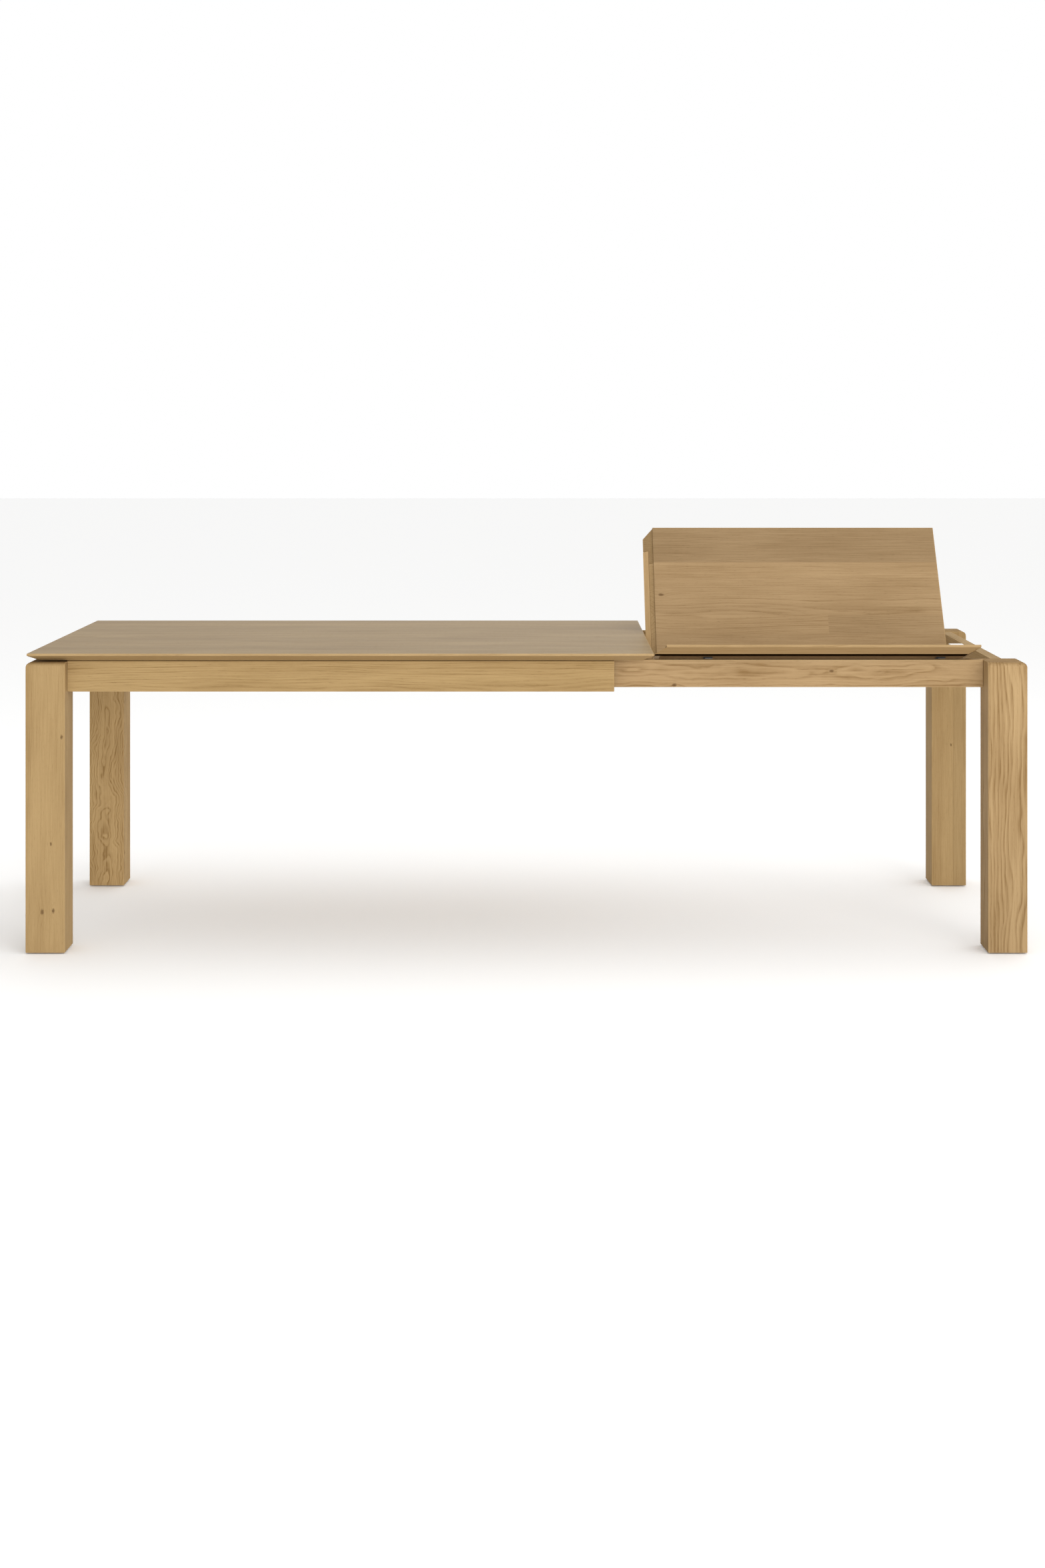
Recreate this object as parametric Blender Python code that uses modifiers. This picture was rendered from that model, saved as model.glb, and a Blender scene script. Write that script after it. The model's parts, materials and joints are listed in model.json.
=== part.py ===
"""Extendable dining table in solid oak, pulled open, with its butterfly leaf half unfolded.

The main top stays on the left leg frame. The right leg frame runs out on guide shoes in two
aluminium rails and carries the leaf: two halves, joined by link hinges, on a small carriage
that runs along the inner aprons.

Metres, +Z up, +X along the table towards the frame that pulls out, -Y to the front.
The origin is on the floor, in the middle of the pulled-out table.
"""
from math import radians

import bmesh
import bpy
from mathutils import Matrix

# --- overall sizes ---------------------------------------------------------------------
CLOSED_LENGTH = 1.600        # over the legs, pushed shut
TABLE_WIDTH = 0.900
TABLE_HEIGHT = 0.765
LEAF_LENGTH = 0.804          # top face of the leaf, along the table

# --- clearances ------------------------------------------------------------------------
TOUCH = 0.0003               # between pieces that are screwed or glued face to face
RUNNING = 0.0010             # between a guide shoe and its rail
PIN_PLAY = 0.0003            # round a pin in its bore
LEAF_START = 0.033           # main top's end to the leaf's top face
LEAF_END = 0.014             # leaf's right end to the right legs
LEG_DROP = 0.003             # leg tops below the main top's underside
INNER_DROP = 0.002           # inner aprons below the main top's underside
END_RAIL_DROP = 0.002        # end rails below the inner aprons' tops
SEAM = 0.0005                # between the two leaf halves when flat

# --- tops ------------------------------------------------------------------------------
TOP_THICKNESS = 0.020
TOP_LIP = 0.006              # upright part of the edge
UNDERCUT = 0.028             # how far the underside runs in below the lip
TOP_INSET = 0.003            # main top's left end in from the legs
BATTEN_WIDTH = 0.015         # strip glued into the leaf's feather edge
BATTEN_START = 0.071         # from the leaf's outer long edge

# --- legs and rails --------------------------------------------------------------------
LEG = 0.100
LEG_TOP_ROUND = 0.012
EDGE_ROUND = 0.0015
APRON = 0.022                # board thickness of all aprons
OUTER_APRON_HEIGHT = 0.080
INNER_APRON_HEIGHT = 0.071
OUTER_APRON_INSET = 0.028    # behind the legs' faces
INNER_APRON_SHORT = 0.020    # inner aprons shorter than the outer ones
END_RAIL = 0.030
END_RAIL_INSET = 0.043
END_RAIL_HEIGHT = 0.073
TIE_HEIGHT = 0.043
BEARER_WIDTH = 0.060
BEARER_HEIGHT = 0.020
BEARER_PLACES = (0.310, 0.560)   # middles, from the table's left end
GLIDE_RADIUS = 0.018
GLIDE_HEIGHT = 0.003

# --- guide rails and shoes -------------------------------------------------------------
RAIL_GAP = 0.013             # between outer and inner aprons
RAIL_SHORT = 0.020           # rails shorter than the outer aprons
RAIL_HEIGHT = 0.045
RAIL_SHEET = 0.0015
RAIL_DEPTH = 0.010
SHOE_LENGTH = 0.060
SHOE_START = 0.040           # first shoe's middle, from the inner apron's left end
SHOE_END = 0.089             # second shoe's middle, from the rail's open end

# --- leg brackets and the leaf's rest --------------------------------------------------
BRACKET_SHEET = 0.003
BRACKET_ARM = 0.024
BRACKET_LONG_ARM = 0.040
BRACKET_HEIGHT = 0.040
BRACKET_DROP = 0.015         # below the end rail's top
REST_REACH = 0.038
REST_WIDTH = 0.026
REST_Y = 0.017
REST_HEIGHT = 0.018
REST_DROP = 0.004            # its top below the flat leaf

# --- leaf carriage ---------------------------------------------------------------------
RUNNER_WIDTH = 0.015
RUNNER_HEIGHT = 0.012
RUNNER_MARGIN = 0.011        # from the right legs
RUNNER_START = 0.050         # from the inner aprons' left ends
STRIP_WIDTH = 0.028
STRIP_SHEET = 0.003
STRIP_MARGIN = 0.024         # inside the leaf's right end
BAR_WIDTH = 0.030
BAR_SHEET = 0.005
BAR_MARGIN = 0.012           # from the leaf's feather edge
REST_BLOCK_PLACE = 0.060     # from the leaf's ends
REST_BLOCK_WIDTH = 0.022
REST_BLOCK_LENGTH = 0.030

# --- leaf pivots and hinges ------------------------------------------------------------
PIVOT_MARGIN = 0.015         # in from the front inner apron
PIVOT_DROP = 0.045           # below the flat leaf's underside
PIVOT_PLACE = 0.100          # from the leaf's ends
PIVOT_PIN_RADIUS = 0.004
PIVOT_PLATE = 0.005
PIVOT_EYE = 0.009
ARM_WIDTH = 0.018
FOOT_SHEET = 0.003
FOOT_LENGTH = 0.060
FOOT_WIDTH = 0.024
WELD_STEP = 0.001            # foot's edges in from the arm's
HINGE_PLACE = 0.120          # from the leaf's ends
HINGE_INSET = 0.007          # each pin from the seam
HINGE_DEPTH = 0.0022         # pins below the top face
HINGE_WIDTH = 0.024
HINGE_REACH = 0.014
HINGE_SHEET = 0.0044
HINGE_PIN_RADIUS = 0.0012
LINK_WIDTH = 0.006
LINK_RADIUS = 0.0019
LINK_ROUND = 0.0017
LINK_SWING = 0.0015          # room behind a link for its lean past upright
LIFT_ANGLE = radians(13.0)   # the front half dips this far at the seam
UNFOLD_ANGLE = radians(69.0)  # the rear half stands this far out of line

# --- places worked out from the sizes above --------------------------------------------
PULL_OUT = LEAF_START + LEAF_LENGTH + LEAF_END + LEG   # of the right frame, from shut
OUTER_APRON_LENGTH = CLOSED_LENGTH - 2 * LEG
INNER_APRON_LENGTH = OUTER_APRON_LENGTH - INNER_APRON_SHORT
LEFT = -(CLOSED_LENGTH + PULL_OUT) / 2
RIGHT = -LEFT
HALF_WIDTH = TABLE_WIDTH / 2
UNDERSIDE = TABLE_HEIGHT - TOP_THICKNESS
LEG_TOP = UNDERSIDE - LEG_DROP
OUTER_FACE = HALF_WIDTH - OUTER_APRON_INSET
OUTER_BACK = OUTER_FACE - APRON
INNER_FACE = OUTER_BACK - RAIL_GAP
INNER_BACK = INNER_FACE - APRON
OUTER_TOP = UNDERSIDE - TOUCH
INNER_TOP = UNDERSIDE - INNER_DROP
INNER_BOTTOM = INNER_TOP - INNER_APRON_HEIGHT
RIGHT_LEG_X = RIGHT - LEG
INNER_LEFT_X = RIGHT_LEG_X - INNER_APRON_LENGTH
RAIL_RIGHT_X = LEFT + LEG + OUTER_APRON_LENGTH
PIVOT_Y = PIVOT_MARGIN - INNER_BACK
PIVOT_Z = UNDERSIDE - PIVOT_DROP
RAIL_MIDDLE_Z = OUTER_TOP - OUTER_APRON_HEIGHT / 2
END_RAIL_TOP = INNER_TOP - END_RAIL_DROP
RUNNER_TOP = INNER_BOTTOM + RUNNER_HEIGHT
STRIP_TOP = RUNNER_TOP + TOUCH + STRIP_SHEET
LEAF_LEFT = LEFT + CLOSED_LENGTH + LEAF_START
LEAF_RIGHT = LEAF_LEFT + LEAF_LENGTH
SIDES = {"front": -1, "rear": 1}

# colour, roughness, metallic
FINISHES = {
    "oak_top": ((0.392, 0.310, 0.195), 0.40, 0.0),
    "oak_frame": ((0.480, 0.328, 0.158), 0.50, 0.0),
    "oak_leaf": ((0.425, 0.290, 0.150), 0.45, 0.0),
    "beech": ((0.560, 0.420, 0.270), 0.55, 0.0),
    "aluminium": ((0.620, 0.625, 0.630), 0.35, 1.0),
    "zinc_steel": ((0.580, 0.580, 0.570), 0.35, 1.0),
    "black_steel": ((0.030, 0.030, 0.032), 0.50, 0.6),
    "brass": ((0.560, 0.420, 0.190), 0.30, 1.0),
    "white_plastic": ((0.800, 0.790, 0.770), 0.45, 0.0),
    "nylon": ((0.060, 0.055, 0.050), 0.60, 0.0),
}


def new_collection(name):
    collection = bpy.data.collections.new(name)
    bpy.context.scene.collection.children.link(collection)
    return collection


for old in list(bpy.data.objects):
    bpy.data.objects.remove(old, do_unlink=True)
PARTS = new_collection("extendable_dining_table")
CUTTERS = new_collection("cutters")


# --- helpers ---------------------------------------------------------------------------
def add_object(name, bm, place, finish=None, parent=None):
    """Put a bmesh in the scene: a part when it has a finish, otherwise a cutter."""
    mesh = bpy.data.meshes.new(name)
    bm.to_mesh(mesh)
    bm.free()
    piece = bpy.data.objects.new(name, mesh)
    piece.location = place
    piece.parent = parent
    if finish is None:
        CUTTERS.objects.link(piece)
        piece.hide_render = True
        piece.display_type = "WIRE"
        return piece
    PARTS.objects.link(piece)
    colour, roughness, metallic = FINISHES[finish]
    material = bpy.data.materials.new(name + "_" + finish)
    material.use_nodes = True
    shader = material.node_tree.nodes["Principled BSDF"]
    shader.inputs["Base Color"].default_value = (*colour, 1.0)
    shader.inputs["Roughness"].default_value = roughness
    shader.inputs["Metallic"].default_value = metallic
    mesh.materials.append(material)
    return piece


def add_empty(name, place, parent=None, turn=0.0):
    empty = bpy.data.objects.new(name, None)
    empty.location = place
    empty.rotation_euler.x = turn
    empty.parent = parent
    CUTTERS.objects.link(empty)
    return empty


def block(name, low, high, finish=None, parent=None, rounding=0.0):
    """A box between two corners, with its origin in its middle."""
    size = [b - a for a, b in zip(low, high)]
    middle = [(a + b) / 2 for a, b in zip(low, high)]
    bm = bmesh.new()
    bmesh.ops.create_cube(bm, size=1.0, matrix=Matrix.Diagonal((*size, 1.0)))
    piece = add_object(name, bm, middle, finish, parent)
    if rounding:
        round_edges(piece, rounding)
    return piece


def side_block(name, side, x, y, z, finish=None, parent=None, rounding=0.0):
    """A box on one side of the table: y is measured from the middle outwards."""
    y_pair = sorted((side * y[0], side * y[1]))
    return block(name, (x[0], y_pair[0], z[0]), (x[1], y_pair[1], z[1]), finish, parent, rounding)


def rod(name, x, y, z, radius, finish=None, parent=None, sides=24):
    """A round bar along X between two places."""
    bm = bmesh.new()
    turn = Matrix.Rotation(radians(90.0), 4, "Y")
    bmesh.ops.create_cone(bm, cap_ends=True, segments=sides, radius1=radius, radius2=radius,
                          depth=x[1] - x[0], matrix=turn)
    return add_object(name, bm, ((x[0] + x[1]) / 2, y, z), finish, parent)


def round_edges(piece, width, segments=2):
    bevel = piece.modifiers.new("round_edges", "BEVEL")
    bevel.width = width
    bevel.segments = segments
    bevel.limit_method = "ANGLE"
    bevel.angle_limit = radians(20.0)


def combine(piece, other, operation):
    boolean = piece.modifiers.new(operation.lower(), "BOOLEAN")
    boolean.operation = operation
    boolean.object = other
    boolean.solver = "EXACT"


def edges_along(bm, axis):
    """The edges of a box that run along one axis."""
    return [e for e in bm.edges if abs((e.verts[0].co - e.verts[1].co).normalized()[axis]) > 0.99]


def board_top(name, low, high, insets, finish=None, parent=None):
    """A top board: an upright lip, and below it sides that lean in by insets (or out)."""
    left, right, front, rear = insets
    middle = [(a + b) / 2 for a, b in zip(low, high)]
    size = [high[0] - low[0], high[1] - low[1], high[2] - low[2] - TOP_LIP]
    bm = bmesh.new()
    bmesh.ops.create_cube(bm, size=1.0, matrix=Matrix.Diagonal((*size, 1.0)))
    bmesh.ops.translate(bm, verts=bm.verts, vec=(0.0, 0.0, -TOP_LIP / 2))
    for vert in bm.verts:
        if vert.co.z < -TOP_LIP / 2:
            vert.co.x += left if vert.co.x < 0 else -right
            vert.co.y += front if vert.co.y < 0 else -rear
    upper = [f for f in bm.faces if f.normal.z > 0.99]
    raised = bmesh.ops.extrude_face_region(bm, geom=upper)["geom"]
    verts = [v for v in raised if isinstance(v, bmesh.types.BMVert)]
    bmesh.ops.translate(bm, verts=verts, vec=(0.0, 0.0, TOP_LIP))
    bmesh.ops.delete(bm, geom=[f for f in upper if f.is_valid], context="FACES_ONLY")
    bmesh.ops.recalc_face_normals(bm, faces=bm.faces)
    return add_object(name, bm, middle, finish, parent)


# --- left frame: main top, legs, outer aprons ------------------------------------------
def leg(name, x, side):
    """A square leg whose top is rounded on its two outer faces."""
    outward = 1 if x > 0 else -1
    bottom = GLIDE_HEIGHT + TOUCH
    bm = bmesh.new()
    size = (LEG, LEG, LEG_TOP - bottom)
    bmesh.ops.create_cube(bm, size=1.0, matrix=Matrix.Diagonal((*size, 1.0)))
    top_edges = [e for e in bm.edges if all(v.co.z > 0 for v in e.verts)]
    outer = [e for e in top_edges if all(v.co.x * outward > 0 for v in e.verts)
             or all(v.co.y * side > 0 for v in e.verts)]
    bmesh.ops.bevel(bm, geom=outer, offset=LEG_TOP_ROUND, segments=4, profile=0.5, affect="EDGES")
    place = (x, side * (HALF_WIDTH - LEG / 2), (LEG_TOP + bottom) / 2)
    piece = add_object(name, bm, place, "oak_frame")
    round_edges(piece, EDGE_ROUND)


def glide(name, x, side):
    """The nylon glide under a leg."""
    bm = bmesh.new()
    bmesh.ops.create_cone(bm, cap_ends=True, segments=24, radius1=GLIDE_RADIUS,
                          radius2=GLIDE_RADIUS, depth=GLIDE_HEIGHT)
    add_object(name, bm, (x, side * (HALF_WIDTH - LEG / 2), GLIDE_HEIGHT / 2), "nylon")


def leg_bracket(name, rail_face, side, outward):
    """An angle of sheet steel in the corner between an end rail and a leg."""
    corner = HALF_WIDTH - LEG - TOUCH
    top = END_RAIL_TOP - BRACKET_DROP
    z = (top - BRACKET_HEIGHT, top)
    face = rail_face - outward * TOUCH
    body_x = sorted((face, face - outward * BRACKET_ARM))
    angle = side_block(name, side, body_x, (corner - BRACKET_LONG_ARM, corner), z, "zinc_steel")
    inner_x = sorted((face - outward * BRACKET_SHEET, face - outward * 2 * BRACKET_ARM))
    y = (corner - 2 * BRACKET_LONG_ARM, corner - BRACKET_SHEET)
    z_cut = (z[0] - BRACKET_SHEET, z[1] + BRACKET_SHEET)
    combine(angle, side_block(name + "_cut", side, inner_x, y, z_cut), "DIFFERENCE")


def end_rail(name, x):
    half = HALF_WIDTH - LEG - TOUCH
    low = (x[0], -half, END_RAIL_TOP - END_RAIL_HEIGHT)
    block(name, low, (x[1], half, END_RAIL_TOP), "oak_frame", rounding=EDGE_ROUND)


def left_frame():
    low = (LEFT + TOP_INSET, -HALF_WIDTH, UNDERSIDE)
    high = (LEFT + CLOSED_LENGTH, HALF_WIDTH, TABLE_HEIGHT)
    board_top("main_top", low, high, (UNDERCUT,) * 4, "oak_top")
    rail_x = (LEFT + END_RAIL_INSET, LEFT + END_RAIL_INSET + END_RAIL)
    end_rail("end_rail_left", rail_x)
    for side_name, side in SIDES.items():
        leg("leg_left_" + side_name, LEFT + LEG / 2, side)
        glide("glide_left_" + side_name, LEFT + LEG / 2, side)
        leg_bracket("leg_bracket_left_" + side_name, rail_x[1], side, -1)
        x = (LEFT + LEG + TOUCH, LEFT + LEG + OUTER_APRON_LENGTH)
        z = (OUTER_TOP - OUTER_APRON_HEIGHT, OUTER_TOP)
        side_block("outer_apron_" + side_name, side, x, (OUTER_BACK, OUTER_FACE), z,
                   "oak_frame", rounding=EDGE_ROUND)
    for number, place in enumerate(BEARER_PLACES, 1):
        half = INNER_BACK - RUNNER_WIDTH
        low = (LEFT + place - BEARER_WIDTH / 2, -half, OUTER_TOP - BEARER_HEIGHT)
        high = (LEFT + place + BEARER_WIDTH / 2, half, OUTER_TOP)
        block("top_bearer_%d" % number, low, high, "beech", rounding=EDGE_ROUND)


# --- guide rails and their shoes -------------------------------------------------------
def guides():
    """A C-shaped rail inside each outer apron, and the two shoes that run in it."""
    web = OUTER_BACK - TOUCH
    z = (RAIL_MIDDLE_Z - RAIL_HEIGHT / 2, RAIL_MIDDLE_Z + RAIL_HEIGHT / 2)
    x = (LEFT + LEG + RAIL_SHORT, RAIL_RIGHT_X)
    for side_name, side in SIDES.items():
        name = "guide_rail_" + side_name
        rail = side_block(name, side, x, (web - RAIL_DEPTH, web), z, "aluminium")
        cut_x = (x[0] - RAIL_DEPTH, x[1] + RAIL_DEPTH)
        cut_y = (web - 2 * RAIL_DEPTH, web - RAIL_SHEET)
        cut_z = (z[0] + RAIL_SHEET, z[1] - RAIL_SHEET)
        combine(rail, side_block(name + "_cut", side, cut_x, cut_y, cut_z), "DIFFERENCE")
        shoe_y = (INNER_FACE + TOUCH, web - RAIL_SHEET - RUNNING)
        shoe_z = (cut_z[0] + RUNNING, cut_z[1] - RUNNING)
        for number, middle in enumerate((INNER_LEFT_X + SHOE_START, RAIL_RIGHT_X - SHOE_END), 1):
            shoe_x = (middle - SHOE_LENGTH / 2, middle + SHOE_LENGTH / 2)
            side_block("guide_shoe_%s_%d" % (side_name, number), side, shoe_x, shoe_y, shoe_z,
                       "nylon", rounding=EDGE_ROUND)


# --- right frame: legs, inner aprons, runners for the leaf carriage --------------------
def right_frame():
    rail_x = (RIGHT - END_RAIL_INSET - END_RAIL, RIGHT - END_RAIL_INSET)
    end_rail("end_rail_right", rail_x)
    for side_name, side in SIDES.items():
        leg("leg_right_" + side_name, RIGHT - LEG / 2, side)
        glide("glide_right_" + side_name, RIGHT - LEG / 2, side)
        leg_bracket("leg_bracket_right_" + side_name, rail_x[0], side, 1)
        x = (INNER_LEFT_X, RIGHT_LEG_X - TOUCH)
        z = (INNER_BOTTOM, INNER_TOP)
        side_block("inner_apron_" + side_name, side, x, (INNER_BACK, INNER_FACE), z,
                   "oak_frame", rounding=EDGE_ROUND)
        x = (INNER_LEFT_X + RUNNER_START, RIGHT_LEG_X - RUNNER_MARGIN)
        y = (INNER_BACK - RUNNER_WIDTH, INNER_BACK - TOUCH)
        side_block("leaf_runner_" + side_name, side, x, y, (INNER_BOTTOM, RUNNER_TOP),
                   "beech", rounding=EDGE_ROUND)
    half = INNER_BACK - TOUCH
    low = (INNER_LEFT_X, -half, INNER_BOTTOM)
    high = (INNER_LEFT_X + APRON, half, INNER_BOTTOM + TIE_HEIGHT)
    block("tie_rail", low, high, "beech", rounding=EDGE_ROUND)
    leaf_rest(rail_x[0] - TOUCH)


def leaf_rest(face):
    """The small white block on the end rail that the flat leaf comes to rest on."""
    top = UNDERSIDE - REST_DROP
    low = (face - REST_REACH, REST_Y - REST_WIDTH / 2, top - REST_HEIGHT)
    high = (face, REST_Y + REST_WIDTH / 2, top)
    block("leaf_rest", low, high, "white_plastic", rounding=EDGE_ROUND)


# --- leaf carriage ---------------------------------------------------------------------
def leaf_carriage():
    """Two steel strips on the runners, tied by a bar beyond the leaf's feather edge."""
    strip_y = (INNER_BACK - STRIP_WIDTH, INNER_BACK - 2 * TOUCH)
    strip_z = (RUNNER_TOP + TOUCH, STRIP_TOP)
    bar_right = LEAF_LEFT - UNDERCUT - BAR_MARGIN
    x = (bar_right - BAR_WIDTH, LEAF_RIGHT - STRIP_MARGIN)
    for side_name, side in SIDES.items():
        side_block("carriage_strip_" + side_name, side, x, strip_y, strip_z, "black_steel")
    low = (bar_right - BAR_WIDTH, -strip_y[1], STRIP_TOP + TOUCH)
    high = (bar_right, strip_y[1], STRIP_TOP + TOUCH + BAR_SHEET)
    block("carriage_bar", low, high, "black_steel")
    places = {"left": LEAF_LEFT + REST_BLOCK_PLACE, "right": LEAF_RIGHT - REST_BLOCK_PLACE}
    for end_name, place in places.items():
        x = (place - REST_BLOCK_LENGTH / 2, place + REST_BLOCK_LENGTH / 2)
        y = (strip_y[0], strip_y[0] + REST_BLOCK_WIDTH)
        side_block("leaf_support_" + end_name, 1, x, y, (STRIP_TOP + TOUCH, OUTER_TOP), "beech",
                   rounding=EDGE_ROUND)


def pivot_bracket(name, x):
    """An upright plate on the carriage with the pin that the leaf swings on."""
    low = (x - PIVOT_PLATE, PIVOT_Y - PIVOT_EYE, STRIP_TOP + TOUCH)
    high = (x, PIVOT_Y + PIVOT_EYE, PIVOT_Z + PIVOT_EYE)
    plate = block(name, low, high, "black_steel")
    pin_x = (x - PIVOT_PLATE / 2, x + 2 * PIVOT_PLATE)
    combine(plate, rod(name + "_pin", pin_x, PIVOT_Y, PIVOT_Z, PIVOT_PIN_RADIUS), "UNION")


def pivot_arm(name, x, pivot):
    """The arm under the front leaf half, turning on the carriage's pin."""
    start = x + TOUCH
    foot_top = UNDERSIDE - TOUCH - PIVOT_Z
    low = (start, -ARM_WIDTH / 2, -PIVOT_EYE)
    high = (start + PIVOT_PLATE, ARM_WIDTH / 2, foot_top - FOOT_SHEET / 2)
    arm = block(name, low, high, "black_steel", pivot)
    low = (start + WELD_STEP, WELD_STEP - ARM_WIDTH / 2, foot_top - FOOT_SHEET)
    high = (start + FOOT_WIDTH, FOOT_LENGTH - ARM_WIDTH / 2, foot_top)
    combine(arm, block(name + "_foot", low, high, parent=pivot), "UNION")
    bore_x = (start - PIVOT_PLATE, start + 2 * PIVOT_PLATE)
    bore = rod(name + "_bore", bore_x, 0.0, 0.0, PIVOT_PIN_RADIUS + PIN_PLAY, parent=pivot)
    combine(arm, bore, "DIFFERENCE")


# --- leaf halves and their hinges ------------------------------------------------------
def leaf_half(name, side, origin, parent):
    """One half of the leaf, laid flat: origin is its joint's place in the flat leaf."""
    seam = SEAM / 2
    y = sorted((side * seam, side * HALF_WIDTH))
    insets = (-UNDERCUT, UNDERCUT, UNDERCUT if side < 0 else 0.0, UNDERCUT if side > 0 else 0.0)

    def local(point):
        return tuple(a - b for a, b in zip(point, origin))

    low = local((LEAF_LEFT, y[0], UNDERSIDE))
    high = local((LEAF_RIGHT, y[1], TABLE_HEIGHT))
    panel = board_top(name + "_panel", low, high, insets, "oak_leaf", parent)
    batten = board_top(name + "_batten", low, high, insets, "oak_leaf", parent)
    feather = LEAF_LEFT - UNDERCUT
    inner_end = feather + BATTEN_WIDTH
    outer_end = HALF_WIDTH - BATTEN_START
    for piece, play, operation in ((batten, 0.0, "INTERSECT"), (panel, TOUCH, "DIFFERENCE")):
        y = sorted((side * (seam - TOP_THICKNESS), side * (outer_end + play)))
        low = local((feather - BATTEN_WIDTH, y[0], UNDERSIDE - TOP_THICKNESS))
        high = local((inner_end + play, y[1], TABLE_HEIGHT - TOP_LIP))
        combine(piece, block("%s_%s" % (piece.name, operation), low, high, parent=parent), operation)
    for end_name, x in hinge_places().items():
        hinge_plate("hinge_plate_%s_%s" % (end_name, name), x, side, local, parent, panel)


def hinge_places():
    return {"left": LEAF_LEFT + HINGE_PLACE, "right": LEAF_RIGHT - HINGE_PLACE}


def hinge_plate(name, x, side, local, parent, panel):
    """A brass plate let into the top face at the seam, slotted and bored for its link."""
    half = HINGE_WIDTH / 2

    def between(x_half, y_from, y_to, z_from, z_to, piece, finish=None):
        y = sorted((side * y_from, side * y_to))
        low = local((x - x_half, y[0], z_from))
        return block(piece, low, local((x + x_half, y[1], z_to)), finish, parent)

    floor = TABLE_HEIGHT - HINGE_SHEET
    above = TABLE_HEIGHT + TOP_LIP
    plate = between(half, SEAM / 2, HINGE_REACH, floor, TABLE_HEIGHT, name, "brass")
    slot_end = HINGE_INSET + LINK_RADIUS + LINK_SWING
    slot = between(LINK_WIDTH / 2 + PIN_PLAY, -HINGE_INSET, slot_end, floor - TOP_LIP, above,
                   name + "_slot")
    combine(plate, slot, "DIFFERENCE")
    pin = local((x, side * HINGE_INSET, TABLE_HEIGHT - HINGE_DEPTH))
    bore_x = (pin[0] - HINGE_WIDTH, pin[0] + HINGE_WIDTH)
    bore = rod(name + "_bore", bore_x, pin[1], pin[2], HINGE_PIN_RADIUS + PIN_PLAY, None, parent)
    combine(plate, bore, "DIFFERENCE")
    recess = between(half + TOUCH, -HINGE_INSET, HINGE_REACH + TOUCH, floor - TOUCH, above,
                     name + "_recess")
    combine(panel, recess, "DIFFERENCE")


def hinge_link(name, x, pin_axis):
    """The short bar that carries both hinge pins; its parent lies on the front pin's axis."""
    bm = bmesh.new()
    size = (LINK_WIDTH, 2 * HINGE_INSET + 2 * LINK_RADIUS, 2 * LINK_RADIUS)
    bmesh.ops.create_cube(bm, size=1.0, matrix=Matrix.Diagonal((*size, 1.0)))
    bmesh.ops.bevel(bm, geom=edges_along(bm, 0), offset=LINK_ROUND, segments=3, profile=0.5,
                    affect="EDGES")
    link = add_object(name, bm, (x, HINGE_INSET, 0.0), "brass", pin_axis)
    half = HINGE_WIDTH / 2 - TOUCH
    for number, y in enumerate((0.0, 2 * HINGE_INSET), 1):
        pin = rod("%s_pin_%d" % (name, number), (x - half, x + half), y, 0.0, HINGE_PIN_RADIUS,
                  None, pin_axis, sides=16)
        combine(link, pin, "UNION")


def leaf():
    pivot = add_empty("leaf_pivot", (0.0, PIVOT_Y, PIVOT_Z), turn=-LIFT_ANGLE)
    front_pin = (0.0, -HINGE_INSET, TABLE_HEIGHT - HINGE_DEPTH)
    rear_pin = (0.0, HINGE_INSET, TABLE_HEIGHT - HINGE_DEPTH)
    pin_place = (0.0, front_pin[1] - PIVOT_Y, front_pin[2] - PIVOT_Z)
    front_axis = add_empty("front_pin_axis", pin_place, pivot)
    rear_axis = add_empty("rear_pin_axis", (0.0, 2 * HINGE_INSET, 0.0), front_axis, UNFOLD_ANGLE)
    leaf_half("front_leaf", -1, (0.0, PIVOT_Y, PIVOT_Z), pivot)
    leaf_half("rear_leaf", 1, rear_pin, rear_axis)
    for end_name, x in hinge_places().items():
        hinge_link("hinge_link_" + end_name, x, front_axis)
    for end_name, x in {"left": LEAF_LEFT + PIVOT_PLACE, "right": LEAF_RIGHT - PIVOT_PLACE}.items():
        pivot_bracket("pivot_bracket_" + end_name, x)
        pivot_arm("pivot_arm_" + end_name, x, pivot)


left_frame()
guides()
right_frame()
leaf_carriage()
leaf()
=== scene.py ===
"""Looks of an extendable oak dining table whose butterfly leaf is half unfolded.

Laid out as a Blender add-on and run as a script. The frame is loaded as it stands; each of its
pieces is finished here: flats made whole, arrises softened, and oiled oak, plated steel, brass,
aluminium and nylon put on as procedural materials. Metres, +Z up, front edge at -Y.
"""

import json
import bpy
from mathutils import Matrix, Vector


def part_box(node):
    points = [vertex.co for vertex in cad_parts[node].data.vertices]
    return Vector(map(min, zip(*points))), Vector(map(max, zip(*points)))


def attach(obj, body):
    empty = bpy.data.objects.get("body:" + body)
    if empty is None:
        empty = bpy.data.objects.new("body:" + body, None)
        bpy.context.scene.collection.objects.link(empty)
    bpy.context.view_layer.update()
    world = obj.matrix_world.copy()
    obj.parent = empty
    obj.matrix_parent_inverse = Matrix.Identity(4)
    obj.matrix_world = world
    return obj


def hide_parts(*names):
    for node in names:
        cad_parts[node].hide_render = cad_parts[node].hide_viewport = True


bl_info = {
    "name": "Extendable oak dining table",
    "version": (1, 0, 0),
    "blender": (4, 5, 0),
    "location": "View3D > Sidebar > Table",
    "description": "Finishes the pieces of an extendable oak dining table and lights them",
    "category": "Object",
}

from math import cos, pi, radians, sin

import bmesh
import bpy
from bpy.props import FloatProperty, FloatVectorProperty, PointerProperty
from bpy.types import NodeSocket, Operator, Panel, PropertyGroup
from mathutils import Matrix, Vector

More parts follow.
